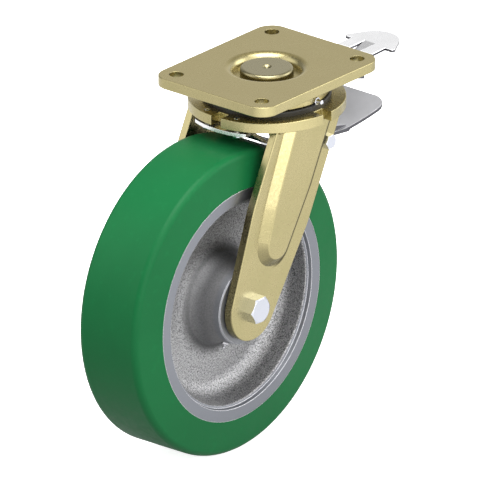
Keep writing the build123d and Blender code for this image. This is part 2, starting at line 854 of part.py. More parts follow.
def brake_leaf():
    bent = across(sheet(leaf_path(), leaf_thickness), -leaf_root_half_width, leaf_root_half_width)
    root = Circle(crown_radius) & Pos(leaf_flat_end_x - crown_radius, 0) * Rectangle(2 * crown_radius, 2 * leaf_root_half_width)
    tongue_start = leaf_flat_end_x - leaf_bend_round
    tongue = Pos(tongue_start + crown_radius, 0) * Rectangle(2 * crown_radius, 2 * leaf_half_width)
    blank = upright(root + tongue, -wheel_radius, 0)
    leaf = bent & blank
    for x, y in leaf_screw_places():
        leaf -= Pos(x, y) * upright(Circle(leaf_screw_radius + leaf_screw_play), -wheel_radius, 0)
    return leaf


def leaf_screws():
    screws = []
    for x, y in leaf_screw_places():
        head_top = leaf_mid_z - leaf_thickness / 2 - leaf_screw_play
        shank = upright(Circle(leaf_screw_radius), head_top, crown_top_z + leaf_screw_tip)
        shank = chamfer(shank.edges().group_by(Axis.Z)[-1], leaf_screw_tip)
        head = upright(Circle(leaf_screw_head_radius), head_top - leaf_screw_head_height, head_top)
        head = fillet(head.edges().group_by(Axis.Z)[0], leaf_screw_head_round)
        socket = upright(hexagon(leaf_screw_head_radius), head_top - leaf_screw_head_height, head_top - 1)
        screws.append(Pos(x, y, 0) * (shank + head - socket))
    return Compound(children=screws)


def brake_pivot_bolt():
    head = along_minus_y(hex_block(brake_head_flats, brake_head_height, False), brake_pivot, -leg_outer_y)
    end_y = leg_outer_y + brake_washer_thickness + brake_nut_height + brake_thread_end
    shank = rod_y(brake_pivot, brake_bolt_radius, -leg_outer_y, end_y)
    return head + chamfer(shank.edges().group_by(Axis.Y)[-1], brake_thread_end / 3)


def brake_pivot_washer():
    high = leg_outer_y + brake_washer_thickness
    return ring_y(brake_pivot, brake_bolt_radius + seat_gap, brake_washer_radius, leg_outer_y, high)


def brake_pivot_nut():
    start = leg_outer_y + brake_washer_thickness
    nut = along_plus_y(hex_block(brake_head_flats, brake_nut_height, True), brake_pivot, start)
    return nut - rod_y(brake_pivot, brake_bolt_radius + seat_gap, 0, 2 * leg_gap)


def cam_lobe_centre():
    """The cam lobe's centre at rest: it bears on the leaf both at rest and at the end of the pedal's throw."""
    reach = wheel_radius + moving_gap + leaf_thickness + cam_gap + cam_lobe_radius
    return meet(open_axle(), turn(axle, brake_pivot, -pedal_throw), reach)


def pedal_plane():
    """The pedal's own plane: its origin at the middle of the root, x towards the tip, z out of the tread face."""
    rise = math.radians(pedal_rise)
    root_x = pedal_tip_x - pedal_length * math.cos(rise)
    root_z = pedal_tip_z - pedal_length * math.sin(rise)
    return Plane(
        origin=(root_x, 0, root_z), x_dir=(math.cos(rise), 0, math.sin(rise)), z_dir=(-math.sin(rise), 0, math.cos(rise))
    )


def pedal_outline(inset):
    root = pedal_root_half_width - inset
    shoulder = pedal_shoulder_half_width - inset
    tip = pedal_half_width - inset
    length = pedal_length - inset
    right = [(0, -root), (pedal_shoulder, -shoulder), (length, -tip)]
    left = [(x, -y) for x, y in reversed(right)]
    face = make_face(Polyline(*right, *left, close=True))
    corners = [v for v in face.vertices() if v.X > length - 0.01]
    face = fillet(corners, pedal_corner_radius - inset)
    shoulders = [v for v in face.vertices() if abs(v.X - pedal_shoulder) < 0.01]
    return fillet(shoulders, pedal_shoulder_round)


def pedal_tread():
    """The pressed pedal plate, slightly dished along its length."""
    over = pedal_sheet
    line = ThreePointArc((-over, pedal_dish), (pedal_length / 2, 0), (pedal_length + over, pedal_dish))
    middle = Pos(0, -pedal_dish - pedal_sheet / 2) * line
    dished = across(sheet(middle, pedal_sheet), -pedal_half_width, pedal_half_width)
    plate = dished & upright(pedal_outline(0.0), -pedal_length, pedal_length)
    faces = plate.faces().filter_by(GeomType.CYLINDER)
    top = max(faces, key=lambda face: face.area + face.center().Z)
    rim = [e for e in top.edges() if e.center().X > 0.01]
    return pedal_plane() * fillet(rim, pedal_edge_round)


def brake_pedal():
    hub = ring_y(brake_pivot, brake_bolt_radius + running_gap, pedal_hub_radius, -pedal_hub_half_width, pedal_hub_half_width)
    lobe = cam_lobe_centre()
    cam_edges = [
        Pos(brake_pivot[0], brake_pivot[1]) * Edge.make_circle(pedal_hub_radius),
        Pos(lobe[0], lobe[1]) * Edge.make_circle(cam_lobe_radius),
    ]
    bore = rod_y(brake_pivot, brake_bolt_radius + running_gap, -leg_gap, leg_gap)
    cam = across(make_hull(cam_edges), -cam_half_width, cam_half_width) - bore
    pedal = hub + cam + pedal_tread()
    for arm in pair_y(pedal_arm()):
        pedal += arm - bore
    for lug in pair_y(pedal_lug()):
        pedal += lug - bore
    return pedal


def pedal_arm():
    """The left side arm, from the hub to under the pedal plate."""
    plane = pedal_plane()
    depth = pedal_dish + pedal_sheet / 2
    foot = plane.from_local_coords(Vector(2 * pedal_sheet, 0, -depth))
    far = plane.from_local_coords(Vector(pedal_length / 3, 0, -depth))
    edges = [
        Pos(brake_pivot[0], brake_pivot[1]) * Edge.make_circle(pedal_hub_radius),
        Edge.make_line((foot.X, foot.Z), (far.X, far.Z)),
        Pos(far.X - pedal_sheet, far.Z - pedal_sheet) * Edge.make_circle(pedal_sheet),
    ]
    high = pedal_root_half_width
    return across(make_hull(edges), high - pedal_arm_thickness, high)


def lug_centre():
    return (brake_pivot[0] + pedal_lug_reach, brake_pivot[1])


def pedal_lug():
    """A lug on the hub that pushes the release pedal's finger down."""
    edges = [
        Pos(brake_pivot[0], brake_pivot[1]) * Edge.make_circle(pedal_hub_radius - pedal_lug_radius),
        Pos(lug_centre()[0], lug_centre()[1]) * Edge.make_circle(pedal_lug_radius),
    ]
    return across(make_hull(edges), pedal_lug_offset - pedal_lug_width / 2, pedal_lug_offset + pedal_lug_width / 2)


def release_path():
    """The middle line of the release pedal's body and arm, from above its hub up into its head."""
    hub_z = release_pin_z + release_hub_radius - release_sheet / 2
    head_z = release_head_z - release_sheet / 2
    return FilletPolyline(
        (release_pin_x - release_finger_radius, hub_z),
        (release_rise_start_x, hub_z + release_slope_rise),
        (release_rise_end_x, release_body_end_z),
        (release_body_end_x, release_body_end_z),
        (release_arm_end_x, head_z),
        (release_head_front_x, head_z),
        radius=release_bend_round,
    )


def release_blank():
    """The outline of the release pedal's body and arm from above: hub, waist, flared front and narrow arm."""
    root = release_hub_half_width
    waist = release_waist_half_width
    wide = release_body_half_width
    step_x = release_pin_x + release_bracket_radius + 4 * moving_gap
    right = [(release_pin_x - release_hub_radius, -root), (step_x, -root)]
    right += [(release_waist_start_x, -waist), (release_waist_end_x, -waist), (release_body_end_x, -wide)]
    left = [(x, -y) for x, y in reversed(right)]
    body = make_face(Polyline(*right, *left, close=True))
    arm_low_x = release_waist_end_x
    arm_high_x = release_head_front_x
    arm_length = arm_high_x - arm_low_x
    arm = Pos(arm_low_x + arm_length / 2, 0) * Rectangle(arm_length, 2 * release_arm_half_width)
    return body + arm


def release_head():
    """The flat head: a rounded front, blunt wings, and two tabs left beside the arm where it is bent down."""
    wing = release_head_half_width
    tab = release_tab_half_width
    front_x = release_head_front_x
    front_y = release_head_front_half_width
    slot = release_arm_half_width + release_slot_gap
    front = ThreePointArc((front_x, -front_y), (release_head_tip_x, 0), (front_x, front_y))
    left = [(front_x, front_y), (release_head_x, wing), (release_head_x, tab)]
    left += [(release_tab_x, tab + release_tab_flare), (release_tab_x, slot), (release_arm_end_x, slot)]
    right = [(x, -y) for x, y in reversed(left)]
    face = make_face(front + Polyline(*left, *right))
    face = fillet([v for v in face.vertices() if abs(v.Y) > wing - 0.01], release_head_round)
    head = upright(face, release_head_z - release_sheet, release_head_z)
    return chamfer(head.edges().group_by(Axis.Z)[-1], release_edge_round)


def release_finger():
    """The left finger: down from the pin, then back under the brake pedal's lug."""
    lug = lug_centre()
    tip_z = lug[1] - pedal_lug_radius - release_finger_radius - release_finger_gap
    tip = Pos(lug[0] - release_finger_gap, tip_z) * Edge.make_circle(release_finger_radius)
    elbow = Pos(release_pin_x - release_elbow_reach, tip_z) * Edge.make_circle(release_finger_radius)
    hub = Pos(release_pin_x, release_pin_z) * Edge.make_circle(release_hub_radius)
    low = pedal_lug_offset - release_finger_width / 2
    high = pedal_lug_offset + release_finger_width / 2
    return across(make_hull([hub, elbow]), low, high) + across(make_hull([elbow, tip]), low, high)


def release_pedal():
    bent = across(sheet(release_path(), release_sheet), -release_body_half_width, release_body_half_width)
    pedal = (bent & upright(release_blank(), -wheel_radius, 0)) + release_head()
    pedal += rod_y(release_pin, release_hub_radius, -release_hub_half_width, release_hub_half_width)
    for finger in pair_y(release_finger()):
        pedal += finger
    return pedal - rod_y(release_pin, release_pin_radius + running_gap, -leg_gap, leg_gap)


def release_bracket():
    """Two ears on the crown's underside that carry the release pin."""
    low = release_hub_half_width + moving_gap
    high = low + release_bracket_wall
    half = release_bracket_radius
    ear = make_face(Polyline(
        (release_pin_x - half, release_pin_z), (release_pin_x + half, release_pin_z),
        (release_pin_x + half, crown_bottom_z), (release_pin_x - 2 * half, crown_bottom_z), close=True,
    ))
    ear += disc_at(release_pin, half)
    ear -= disc_at(release_pin, release_pin_radius + seat_gap)
    return Compound(children=pair_y(across(ear, low, high)))


def release_pin_rod():
    reach = release_hub_half_width + moving_gap + release_bracket_wall
    rod = rod_y(release_pin, release_pin_radius, -reach, reach + 1)
    head = rod_y(release_pin, release_pin_radius + 2, -reach - release_bracket_head, -reach)
    return rod + head


def main():
    os.makedirs("parts", exist_ok=True)
    left_balls = bearing_balls()
    made = {
        "top_plate": top_plate(),
        "king_pin": king_pin(),
        "king_pin_nut": king_pin_nut(),
        "king_pin_washer": king_pin_washer(),
        "split_pin": split_pin(),
        "bearing_cover": bearing_cover(),
        "swivel_grease_nipple": swivel_grease_nipple(),
        "thrust_race_upper": thrust_race_upper(),
        "thrust_race_lower": thrust_race_lower(),
        "thrust_balls": thrust_balls(),
        "thrust_cage": thrust_cage(),
        "dust_seal": dust_seal(),
        "taper_cup": taper_cup(),
        "taper_cone": taper_cone(),
        "taper_rollers": taper_rollers(),
        "taper_cage": taper_cage(),
        "fork_crown": fork_crown(),
        "fork_leg_right": fork_leg_right(),
        "fork_leg_left": mirror(fork_leg_right(), Plane.XZ),
        "axle_bolt": axle_bolt(),
        "axle_washer": axle_washer(),
        "axle_nut": axle_nut(),
        "axle_tube": axle_tube(),
        "inner_spacer": inner_spacer(),
        "outer_spacers": outer_spacers(),
        "bearing_inner_left": bearing_inner(),
        "bearing_inner_right": mirror(bearing_inner(), Plane.XZ),
        "bearing_outer_left": bearing_outer(),
        "bearing_outer_right": mirror(bearing_outer(), Plane.XZ),
        "bearing_balls_left": Compound(children=left_balls),
        "bearing_balls_right": Compound(children=[mirror(ball, Plane.XZ) for ball in left_balls]),
        "bearing_shields": Compound(children=pair_y(bearing_shield())),
        "circlips": Compound(children=pair_y(circlip())),
        "wheel_rim": wheel_rim(),
        "tread": tread(),
        "hub_grease_nipple": hub_grease_nipple(),
        "brake_leaf": brake_leaf(),
        "leaf_screws": leaf_screws(),
        "brake_pivot_bolt": brake_pivot_bolt(),
        "brake_pivot_washer": brake_pivot_washer(),
        "brake_pivot_nut": brake_pivot_nut(),
        "brake_pedal": brake_pedal(),
        "release_pedal": release_pedal(),
        "release_bracket": release_bracket(),
        "release_pin": release_pin_rod(),
    }
    for name, shape in made.items():
        export_step(shape, f"parts/{name}.step")


main()
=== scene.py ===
import math

import bpy
from mathutils import Matrix, Vector


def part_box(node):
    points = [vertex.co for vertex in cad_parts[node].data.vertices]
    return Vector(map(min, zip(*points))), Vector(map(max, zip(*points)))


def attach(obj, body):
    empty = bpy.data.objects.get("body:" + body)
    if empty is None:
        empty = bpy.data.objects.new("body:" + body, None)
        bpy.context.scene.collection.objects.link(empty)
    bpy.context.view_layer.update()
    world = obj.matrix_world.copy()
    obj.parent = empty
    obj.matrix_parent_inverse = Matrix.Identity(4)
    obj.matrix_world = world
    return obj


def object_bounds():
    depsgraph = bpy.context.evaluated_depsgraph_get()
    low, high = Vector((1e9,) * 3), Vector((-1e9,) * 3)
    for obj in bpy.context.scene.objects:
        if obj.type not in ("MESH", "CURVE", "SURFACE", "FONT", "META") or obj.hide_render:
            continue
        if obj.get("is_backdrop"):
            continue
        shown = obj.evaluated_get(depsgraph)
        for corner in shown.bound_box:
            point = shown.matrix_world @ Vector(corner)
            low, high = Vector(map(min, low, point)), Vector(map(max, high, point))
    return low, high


bl_info = {
    "name": "Swivel Castor",
    "version": (1, 0, 0),
    "blender": (4, 5, 0),
    "location": "3D View > Sidebar > Castor",
    "description": "Finishes, weld beads, threads and studio of a heavy-duty swivel castor",
    "category": "Object",
}

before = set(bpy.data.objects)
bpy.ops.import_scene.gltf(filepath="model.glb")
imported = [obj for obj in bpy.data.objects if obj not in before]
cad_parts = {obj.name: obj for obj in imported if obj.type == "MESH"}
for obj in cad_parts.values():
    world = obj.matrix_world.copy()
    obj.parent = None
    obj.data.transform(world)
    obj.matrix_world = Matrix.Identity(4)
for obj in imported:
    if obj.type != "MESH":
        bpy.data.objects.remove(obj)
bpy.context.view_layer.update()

# Places on the solids that the finishes and the added pieces follow, in metres
AXLE = Vector((-0.085, 0.0, -0.205))
BRAKE_PIVOT = (0.0235, -0.0684)
CROWN_FOOT = -0.038
LEG_INSIDE, LEG_OUTSIDE, PANEL_CREST = 0.047, 0.055, 0.062

# From back to front along a leg, where the weld beads end and where the panel's foot and its crest end
INNER_WELD, OUTER_WELD = (-0.046, 0.043), (-0.048, 0.044)
PANEL_FOOT_RUN, PANEL_CREST_RUN = (-0.042, 0.035), (-0.031, 0.024)

# A bead's waist and how far its line stands off the corner, in parts of its radius, and each ripple's swelling
BEAD_WAIST, BEAD_STAND_OFF, RIPPLE_SWELL = 0.55, 0.3, 1.35

# Each thread's radius, where it starts along the bolt, and the length left plain at the bolt's tip
AXLE_THREAD_RADIUS, AXLE_THREAD_START, AXLE_TIP = 0.0078, 0.0715, 0.0015
PIVOT_THREAD_RADIUS, PIVOT_THREAD_START, PIVOT_TIP = 0.0039, 0.0642, 0.0009

# The size of a thread's ridge in parts of its pitch, and the steps in one turn
RIDGE_SIZE, STEPS_PER_TURN = 0.42, 28

# What plating turns to on edges, partly wear and partly a painted highlight: fasteners, pedals, and how much
# lighter than its base the yellow is
WEAR_AND_HIGHLIGHT_BRIGHT, WEAR_AND_HIGHLIGHT_PALE, WEAR_AND_HIGHLIGHT_YELLOW = (0.95, 0.95, 0.98), (0.95, 0.95, 0.97), 1.55

# The foot of a leg's raised panel, seen from the side: the bend in its front, the outward directions above
# and below that bend, the middle of its round end, and where and which way the front runs into that end
PANEL_BEND = (-0.003, 0.0, -0.105)
PANEL_FRONT_UPPER, PANEL_FRONT_LOWER = (0.894, 0.0, -0.448), (0.85, 0.0, -0.527)
PANEL_END, PANEL_END_RADIUS = (-0.0565, 0.0, -0.1476), 0.023
PANEL_END_START, PANEL_END_RUN = (-0.037, 0.0, -0.1597), (-0.527, 0.0, -0.85)

# Radii on the wheel's casting at which its surface changes, from where a change starts to where it is full
HUB_TURNED = (0.0392, 0.0386)
HUB_SIDE = (0.0395, 0.0445)
# Where a ring of painted shade lies at the hub's foot
HUB_FOOT_PAINTED_SHADE_RISE, HUB_FOOT_PAINTED_SHADE_FALL = (0.0445, 0.047), (0.0525, 0.0475)
WEB_ROUGH = (0.046, 0.062)
# Where painted shade darkens the dish's wall
DISH_WALL_PAINTED_SHADE = (0.084, 0.094)
RIM_TURNED = (0.1000, 0.1008)

# How light the floor is by the distance from the swivel axis in metres, dark near it as a painted shadow,
# and from side to side, and the sky by its height
FLOOR_LEVELS = ((0.05, 0.16), (0.2, 0.32), (0.33, 0.97), (0.5, 0.95), (0.7, 0.9), (0.9, 0.92))
SIDE_LEVELS = ((0.2, 0.52), (0.38, 0.49), (0.48, 0.44), (0.65, 0.57), (0.85, 0.744), (0.95, 0.92))
SKY_LEVELS = ((0.0, 1.0), (0.36, 1.0), (0.48, 0.8), (0.585, 0.36), (0.66, 0.6), (1.0, 0.6))

# The directions in which the floor and the sky grow lighter, and in which the floor has a painted shadow behind
# the castor
FLOOR_LIGHTER, SKY_LIGHTER = (-0.25, -0.97, 0.0), (0.766, -0.643, 0.0)
FLOOR_PAINTED_SHADOW_SIDE = (0.95, 0.3, 0.0)

# Soft glows in the sky: the direction, the nearness to it at which the glow starts and is full, the strength
GLOWS = (
    ((-0.63, 0.6, 0.5), 0.8, 1.0, 1.6),
    ((0.7, -0.55, 0.45), 0.9, 0.99, 3.2),
    ((-0.35, -0.7, 0.62), 0.6, 1.0, 1.7),
)

# The middle of the castor, which the lights face
MIDDLE = (-0.03, 0.0, -0.15)

# The camera's axes, and how far the middle of the picture lies from the frame's origin, to the right and up
CAMERA_BACK, CAMERA_RIGHT = (-0.7103, -0.5960, 0.3746), (0.6428, -0.7660, 0.0)
PICTURE_MIDDLE = (-0.02499, -0.16362)


# Sizes and colours a user would change

def colour(label, description, value):
    return bpy.props.FloatVectorProperty(
        name=label, description=description, subtype="COLOR", size=3, min=0.0, max=1.0, default=value
    )


def length(label, description, value):
    return bpy.props.FloatProperty(
        name=label, description=description, subtype="DISTANCE", unit="LENGTH", default=value, precision=5
    )


class CastorColours(bpy.types.PropertyGroup):
    plate: colour("Yellow zinc", "Yellow chromated plate, fork and crown", (0.43, 0.375, 0.195))
    plate_shade: colour("Yellow zinc, olive", "Olive cast of the chromate", (0.405, 0.357, 0.18))
    # The deeper tone of the plate's level faces is painted shade
    plate_top_painted_shade: colour("Yellow zinc, top face", "Deeper tone of the plate's flat faces", (0.42, 0.352, 0.15))
    pin: colour("Turned pin", "The king pin's turned end", (0.19, 0.173, 0.105))
    bright: colour("Bright zinc", "Bolts, screws and nipples", (0.61, 0.63, 0.7))
    pedal: colour("Pedal zinc", "Brake pedal", (0.66, 0.66, 0.675))
    release: colour("Release zinc", "Release pedal and brake leaf", (0.98, 0.98, 0.99))
    steel: colour("Bearing steel", "Ground and hardened steel", (0.5, 0.5, 0.52))
    tread: colour("Tread", "Cast polyurethane", (0.0078, 0.126, 0.0375))
    tread_shade: colour("Tread, deep", "Deeper green in the tread", (0.0068, 0.112, 0.0335))
    rim: colour("Machined rim", "Turned face of the rim", (0.225, 0.234, 0.26))
    casting: colour("Casting", "Rough casting inside the rim", (0.48, 0.48, 0.488))
    casting_dark: colour("Casting, dark", "Pits in the casting", (0.06, 0.06, 0.062))
    seal: colour("Seal", "Black rubber", (0.012, 0.011, 0.01))
    floor: colour("Floor", "Pale studio floor", (0.92, 0.92, 0.92))


class CastorSizes(bpy.types.PropertyGroup):
    weld_radius: length("Weld bead", "Radius of the weld beads", 0.0024)
    weld_pitch: length("Weld ripple", "Distance between the ripples of a bead", 0.0022)
    axle_pitch: length("Axle thread pitch", "Pitch of the axle bolt's thread", 0.002)
    pivot_pitch: length("Pivot thread pitch", "Pitch of the brake pivot's thread", 0.00125)
    edge_radius: length("Edge rounding", "Soft edge seen on all pressed and turned pieces", 0.0006)
    view_width: length("View width", "Width of what the camera takes in", 0.4526)
    camera_distance: length("Camera distance", "From the camera to the aimed point", 6.0)


# Helpers for node trees

def add(tree, kind, inputs=None, **settings):
    """A node with its settings, its inputs given as values or as sockets to link."""
    made = tree.nodes.new(kind)
    for name, value in settings.items():
        setattr(made, name, value)
    for name, value in (inputs or {}).items():
        feed(tree, made.inputs[name], value)
    return made


def feed(tree, socket, value):
    """Links a socket to another one, or sets it to a value."""
    if isinstance(value, bpy.types.NodeSocket):
        tree.links.new(value, socket)
    else:
        socket.default_value = value


def arithmetic(tree, operation, first, second=0.0):
    return add(tree, "ShaderNodeMath", {0: first, 1: second}, operation=operation).outputs[0]


def times(tree, first, second):
    return arithmetic(tree, "MULTIPLY", first, second)


def plus(tree, first, second):
    return arithmetic(tree, "ADD", first, second)


def minus(tree, first, second):
    return arithmetic(tree, "SUBTRACT", first, second)


def larger(tree, first, second):
    return arithmetic(tree, "MAXIMUM", first, second)


def from_centre(tree, across, up):
    """The distance from a centre, from the two coordinates across it."""
    return arithmetic(tree, "SQRT", plus(tree, times(tree, across, across), times(tree, up, up)))


def dot(tree, vector, direction):
    made = add(tree, "ShaderNodeVectorMath", {0: vector, 1: direction}, operation="DOT_PRODUCT")
    return made.outputs["Value"]


def split(tree, vector):
    return add(tree, "ShaderNodeSeparateXYZ", {0: vector}).outputs


def ramp(tree, value, low, high, to_low=0.0, to_high=1.0, kind="SMOOTHSTEP"):
    settings = {"Value": value, "From Min": low, "From Max": high, "To Min": to_low, "To Max": to_high}
    return add(tree, "ShaderNodeMapRange", settings, interpolation_type=kind).outputs["Result"]


def blend(tree, factor, first, second):
    return add(tree, "ShaderNodeMix", {0: factor, 6: first, 7: second}, data_type="RGBA").outputs[2]


def curve(tree, value, stops):
    """A grey level read off a row of (place, level) stops."""
    made = add(tree, "ShaderNodeValToRGB", {"Fac": value})
    points = made.color_ramp.elements
    while len(points) < len(stops):
        points.new(0.5)
    for point, (position, level) in zip(points, stops):
        point.position = position
        point.color = (level, level, level, 1.0)
    return made.outputs["Color"]


def noise(tree, vector, scale, detail=3.0, roughness=0.5):
    settings = {"Vector": vector, "Scale": scale, "Detail": detail, "Roughness": roughness}
    return add(tree, "ShaderNodeTexNoise", settings).outputs["Fac"]


def rgb(value, strength=1.0):
    """A colour with its alpha, made darker or lighter by a strength."""
    return (value[0] * strength, value[1] * strength, value[2] * strength, 1.0)


def new_group(name, inputs, outputs):
    """An empty node group, its input node and a function that sets its outputs."""
    group = bpy.data.node_groups.new(name, "ShaderNodeTree")
    for label, kind in inputs:
        group.interface.new_socket(name=label, in_out="INPUT", socket_type=kind)
    for label, kind in outputs:
        group.interface.new_socket(name=label, in_out="OUTPUT", socket_type=kind)
    source = group.nodes.new("NodeGroupInput")
    target = group.nodes.new("NodeGroupOutput")

    def close(**values):
        for label, socket in values.items():
            group.links.new(socket, target.inputs[label])

    return group, source.outputs, close


# Effects that are built once, for the finishes to use

def edge_group():
    """Softened edges: a rounded normal, and a mask that is 1 on the rounding."""
    group, given, close = new_group(
        "Soft edges",
        [("Radius", "NodeSocketFloat")],
        [("Normal", "NodeSocketVector"), ("Edge", "NodeSocketFloat")],
    )
    rounded = add(group, "ShaderNodeBevel", {"Radius": given["Radius"]}, samples=6).outputs["Normal"]
    flat = group.nodes.new("ShaderNodeNewGeometry").outputs["Normal"]
    close(Normal=rounded, Edge=ramp(group, dot(group, rounded, flat), 0.995, 0.9))


def cloud_group():
    """Cloudy variation over a surface, broad and fine."""
    group, given, close = new_group(
        "Surface clouds",
        [("Vector", "NodeSocketVector"), ("Scale", "NodeSocketFloat")],
        [("Broad", "NodeSocketFloat"), ("Fine", "NodeSocketFloat")],
    )
    broad = noise(group, given["Vector"], given["Scale"], 4.0, 0.55)
    fine = noise(group, given["Vector"], times(group, given["Scale"], 14.0), 3.0, 0.6)
    close(Broad=ramp(group, broad, 0.3, 0.7), Fine=fine)


def scratch_group():
    """Fine scratches that run across each other."""
    group, given, close = new_group(
        "Handling scratches",
        [("Vector", "NodeSocketVector"), ("Amount", "NodeSocketFloat")],
        [("Height", "NodeSocketFloat")],
    )
    layers = []
    for turn, stretch in ((0.5, (900, 30, 30)), (1.9, (30, 900, 60)), (2.6, (60, 30, 900))):
        settings = {"Vector": given["Vector"], "Rotation": (turn, turn / 2, turn), "Scale": stretch}
        drawn_out = add(group, "ShaderNodeMapping", settings).outputs[0]
        layers.append(ramp(group, noise(group, drawn_out, 1.0, 2.0), 0.62, 0.8))
    all_layers = larger(group, larger(group, layers[0], layers[1]), layers[2])
    close(Height=times(group, all_layers, given["Amount"]))


def turned_group():
    """Turning marks round a centre, from the two coordinates across the axis."""
    group, given, close = new_group(
        "Turning marks",
        [("Across", "NodeSocketFloat"), ("Up", "NodeSocketFloat"), ("Pitch", "NodeSocketFloat")],
        [("Height", "NodeSocketFloat"), ("Radius", "NodeSocketFloat")],
    )
    radius = from_centre(group, given["Across"], given["Up"])
    turns = arithmetic(group, "DIVIDE", radius, given["Pitch"])
    rings = add(group, "ShaderNodeTexNoise", {"W": turns, "Scale": 1.0, "Detail": 2.0}, noise_dimensions="1D")
    close(Height=rings.outputs["Fac"], Radius=radius)


def cast_group():
    """Sand-cast grain: coarse pits, fine grain, and the bright tips of the grain."""
    group, given, close = new_group(
        "Cast grain",
        [("Vector", "NodeSocketVector"), ("Scale", "NodeSocketFloat")],
        [("Height", "NodeSocketFloat"), ("Tips", "NodeSocketFloat")],
    )
    grain = noise(group, given["Vector"], given["Scale"], 2.0, 0.6)
    coarse = noise(group, given["Vector"], times(group, given["Scale"], 0.35), 3.0, 0.6)
    cells = add(group, "ShaderNodeTexVoronoi", {"Vector": given["Vector"], "Scale": given["Scale"]})
    tips = plus(group, cells.outputs["Distance"], times(group, grain, -0.8))
    close(Height=plus(group, times(group, grain, 0.7), coarse), Tips=ramp(group, tips, 0.0, -0.28))


def panel_group():
    """Painted shade round a leg's raised panel: along its foot in front, on its back and on its low end."""
    group, given, close = new_group(
        "Painted panel shade",
        [("Vector", "NodeSocketVector"), ("Normal", "NodeSocketVector")],
        [("Shade", "NodeSocketFloat")],
    )

    def beyond(point, direction):
        """How far a place lies beyond a point, in a direction."""
        apart = add(group, "ShaderNodeVectorMath", {0: given["Vector"], 1: point}, operation="SUBTRACT")
        return dot(group, apart.outputs["Vector"], direction)

    # How far a place lies outside the panel's foot: in front of the panel, and round its end
    front = larger(group, beyond(PANEL_BEND, PANEL_FRONT_UPPER), beyond(PANEL_BEND, PANEL_FRONT_LOWER))
    across, up = beyond(PANEL_END, (1.0, 0.0, 0.0)), beyond(PANEL_END, (0.0, 0.0, 1.0))
    round_end = minus(group, from_centre(group, across, up), PANEL_END_RADIUS)
    at_end = ramp(group, beyond(PANEL_END_START, PANEL_END_RUN), 0.0, 0.0005)
    off_foot = plus(group, front, times(group, at_end, minus(group, round_end, front)))

    # A narrow band of painted shade along that foot, down to where the end turns to the back
    painted_foot_line = ramp(group, off_foot, 0.0014, 0.0032, 0.97, 0.0)
    painted_foot_line = times(group, painted_foot_line, ramp(group, off_foot, -0.0022, -0.0012))
    painted_foot_line = times(group, painted_foot_line, ramp(group, across, -0.004, 0.01))

    # Painted shade on the slopes that face back, more and more towards the wheel's axle, and on the end's low
    # slope
    facing = split(group, given["Normal"])
    height = split(group, given["Vector"])["Z"]
    back = times(group, ramp(group, facing["X"], -0.3, -0.5), ramp(group, height, -0.045, -0.15, 0.0, 0.5))
    low = times(group, ramp(group, facing["Z"], -0.1, -0.5, 0.0, 0.65), ramp(group, round_end, 0.003, 0.0))
    close(Shade=larger(group, painted_foot_line, larger(group, back, low)))


# Finishes

class Finish:
    """One material: its coordinates, the shared effects and its shader."""

    def __init__(self, name, specular=0.5):
        self.material = bpy.data.materials.new(name)
        self.material.use_nodes = True
        self.tree = self.material.node_tree
        self.tree.nodes.clear()
        coordinates = self.tree.nodes.new("ShaderNodeTexCoord").outputs
        self.place = coordinates["Object"]
        self.own_normal = coordinates["Normal"]
        self.shader = self.tree.nodes.new("ShaderNodeBsdfPrincipled")
        self.shader.inputs["Specular IOR Level"].default_value = specular
        surface = self.tree.nodes.new("ShaderNodeOutputMaterial").inputs["Surface"]
        self.tree.links.new(self.shader.outputs[0], surface)

    def group(self, name, inputs):
        return add(self.tree, "ShaderNodeGroup", inputs, node_tree=bpy.data.node_groups[name]).outputs

    def edges(self, radius):
        return self.group("Soft edges", {"Radius": radius})

    def clouds(self, scale):
        return self.group("Surface clouds", {"Vector": self.place, "Scale": scale})

    def scratches(self, amount):
        return self.group("Handling scratches", {"Vector": self.place, "Amount": amount})["Height"]

    def wheel_marks(self, pitch):
        """Turning marks round the axle."""
        parts = split(self.tree, self.place)
        across, up = minus(self.tree, parts["X"], AXLE.x), minus(self.tree, parts["Z"], AXLE.z)
        return self.group("Turning marks", {"Across": across, "Up": up, "Pitch": pitch})

    def mix(self, factor, first, second):
        return blend(self.tree, factor, first, second)

    def bump(self, height, distance, strength, normal):
        settings = {"Height": height, "Distance": distance, "Strength": strength, "Normal": normal}
        return add(self.tree, "ShaderNodeBump", settings).outputs[0]

    def close(self, colour_socket, roughness, normal, metallic=1.0):
        for label, value in (("Base Color", colour_socket), ("Roughness", roughness), ("Normal", normal)):
            self.tree.links.new(value, self.shader.inputs[label])
        self.shader.inputs["Metallic"].default_value = metallic
        return self.material


